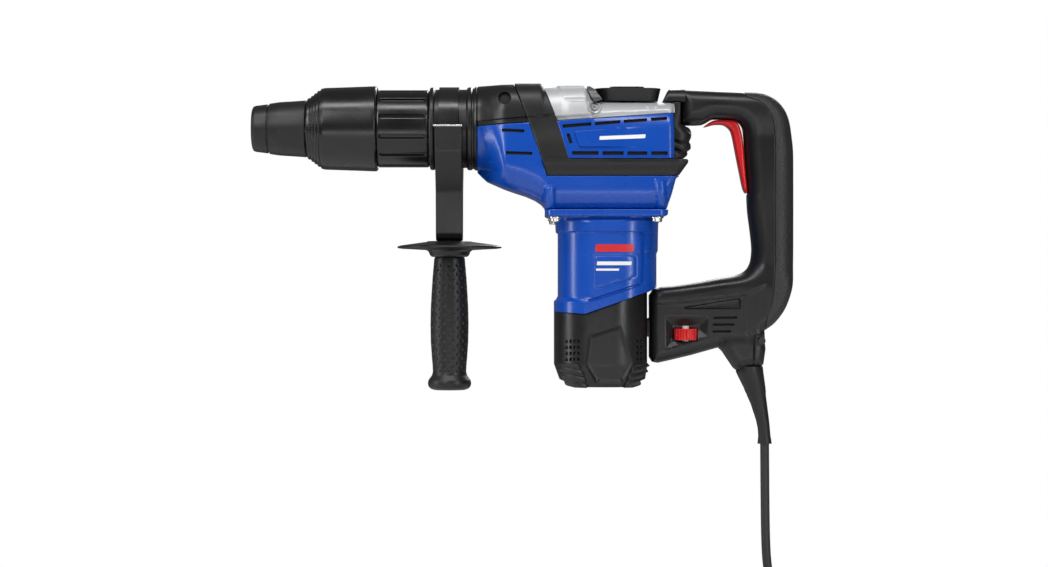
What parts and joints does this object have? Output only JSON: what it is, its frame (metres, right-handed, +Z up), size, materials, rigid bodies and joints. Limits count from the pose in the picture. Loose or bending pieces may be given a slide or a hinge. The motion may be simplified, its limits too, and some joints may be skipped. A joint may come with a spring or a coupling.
{
  "type": "rotary hammer",
  "caption": "Corded rotary hammer with a vertical motor, D-handle, side handle and a push-back tool holder for slotted shanks.",
  "frame": {"origin": "middle of the D-handle's grip, on the tool's mid-plane", "axes": "X along the spindle with the tool end at -X, Y across the tool, +Z up"},
  "size_m": [0.4752, 0.1663, 0.4716],
  "materials": {
    "die_cast_aluminium": "fine cast, matt",
    "black_plastic": "fine texture, semi-matt",
    "black_rubber": "matt",
    "blue_plastic": "semi-gloss",
    "steel": "ground",
    "alloy_plate": "machined",
    "copper": "enamelled copper wire and copper bars",
    "graphite": "pressed carbon",
    "red_plastic": "semi-gloss",
    "pale_plastic": "plain"
  },
  "bodies": {
    "housing": {"gear_housing": "die_cast_aluminium", "front_cover": "black_plastic", "lower_cover": "blue_plastic", "bumper": "black_rubber", "side_panel_left": "blue_plastic", "side_panel_right": "blue_plastic", "neck_sleeve": "black_plastic", "front_ring": "black_plastic", "bearings": "steel", "gear_bridge": "alloy_plate", "stator_core": "steel", "field_coils": "copper", "brush_holders": "copper", "carbon_brushes": "graphite", "motor_housing": "blue_plastic", "motor_screws": "steel", "motor_cap": "black_plastic", "cap_bumper": "black_rubber", "knob_base": "black_plastic", "top_screws": "steel"},
    "spindle": {"tool_holder": "steel", "spindle_tube": "steel", "dust_cap": "black_rubber", "bevel_ring": "steel"},
    "locking_sleeve": {"locking_sleeve": "black_plastic"},
    "impact_bolt": {"impact_bolt": "steel"},
    "striker": {"striker": "steel"},
    "piston": {"piston": "steel"},
    "con_rod": {"con_rod": "steel"},
    "crank": {"crank_shaft": "steel", "crank_gear": "steel"},
    "layshaft": {"layshaft": "steel", "layshaft_gear": "steel"},
    "armature": {"armature_shaft": "steel", "armature_core": "steel", "armature_winding": "copper", "commutator": "copper", "fan": "pale_plastic"},
    "side_clamp": {"clamp_strap": "steel", "clamp_bracket": "black_plastic", "clamp_bolt": "steel"},
    "side_grip": {"side_grip_core": "black_plastic", "side_grip_sleeve": "black_rubber"},
    "mode_knob": {"mode_knob": "black_plastic"},
    "knob_button": {"knob_button": "red_plastic"},
    "d_handle": {"handle_left": "black_plastic", "handle_right": "black_plastic", "soft_grip": "black_rubber", "pivot_pin": "steel", "handle_screws": "steel", "bellows": "black_rubber", "switch_module": "pale_plastic", "speed_module": "pale_plastic", "cord_boot": "black_rubber", "cord": "black_rubber", "cord_coil": "black_rubber", "coil_tie": "black_rubber", "plug": "black_plastic"},
    "trigger": {"trigger": "red_plastic"},
    "thumbwheel": {"thumbwheel": "red_plastic"}
  },
  "joints": [
    {"name": "armature_spin", "type": "hinge", "parent": "housing", "child": "armature", "pos_m": [-0.1437, 0, 0], "axis": [0, 0, 1], "continuous": true},
    {"name": "crank_spin", "type": "hinge", "parent": "housing", "child": "crank", "pos_m": [-0.11807, 0, 0], "axis": [0, 0, 1], "continuous": true},
    {"name": "layshaft_spin", "type": "hinge", "parent": "housing", "child": "layshaft", "pos_m": [-0.17682, 0, 0], "axis": [0, 0, 1], "continuous": true},
    {"name": "spindle_spin", "type": "hinge", "parent": "housing", "child": "spindle", "pos_m": [-0.3, 0, 0.0625], "axis": [1, 0, 0], "continuous": true},
    {"name": "locking_sleeve_pull", "type": "slide", "parent": "spindle", "child": "locking_sleeve", "axis": [1, 0, 0], "range_m": [0, 0.008], "stiffness_N_per_m": 900, "springref_m": -0.004},
    {"name": "impact_bolt_slide", "type": "slide", "parent": "spindle", "child": "impact_bolt", "axis": [-1, 0, 0], "range_m": [0, 0.006]},
    {"name": "striker_slide", "type": "slide", "parent": "spindle", "child": "striker", "axis": [-1, 0, 0], "range_m": [0, 0.023]},
    {"name": "piston_slide", "type": "slide", "parent": "housing", "child": "piston", "axis": [-1, 0, 0], "range_m": [0, 0.026]},
    {"name": "con_rod_swing", "type": "hinge", "parent": "piston", "child": "con_rod", "pos_m": [-0.16007, 0, 0.0625], "axis": [0, 0, 1], "range_deg": [-13.7, 13.7]},
    {"name": "side_handle_swivel", "type": "hinge", "parent": "housing", "child": "side_clamp", "pos_m": [-0.282, 0, 0.0625], "axis": [1, 0, 0], "continuous": true},
    {"name": "side_grip_twist", "type": "hinge", "parent": "side_clamp", "child": "side_grip", "pos_m": [-0.282, 0, -0.1], "axis": [0, 0, 1], "range_deg": [0, 720]},
    {"name": "mode_select", "type": "hinge", "parent": "housing", "child": "mode_knob", "pos_m": [-0.126, 0, 0.09], "axis": [0, 0, 1], "range_deg": [-90, 90]},
    {"name": "knob_button_press", "type": "slide", "parent": "mode_knob", "child": "knob_button", "axis": [0, 0, -1], "range_m": [0, 0.0015], "stiffness_N_per_m": 600, "springref_m": -0.001},
    {"name": "handle_damper", "type": "hinge", "parent": "housing", "child": "d_handle", "pos_m": [-0.092, 0, -0.112], "axis": [0, -1, 0], "range_deg": [0, 1.3], "stiffness_Nm_per_rad": 250, "deforming": ["bellows"]},
    {"name": "trigger_press", "type": "hinge", "parent": "d_handle", "child": "trigger", "pos_m": [-0.014, 0, 0.0075], "axis": [0, 1, 0], "range_deg": [0, 5], "stiffness_Nm_per_rad": 4, "springref_deg": -5.73},
    {"name": "speed_dial", "type": "hinge", "parent": "d_handle", "child": "thumbwheel", "pos_m": [-0.0753, -0.014, -0.118], "axis": [0, 0, 1], "range_deg": [0, 300]}
  ],
  "couplings": [
    {"joint": "crank_spin", "follows": "armature_spin", "ratio": -0.24242},
    {"joint": "layshaft_spin", "follows": "armature_spin", "ratio": -0.17778},
    {"joint": "spindle_spin", "follows": "armature_spin", "ratio": 0.061538}
  ]
}
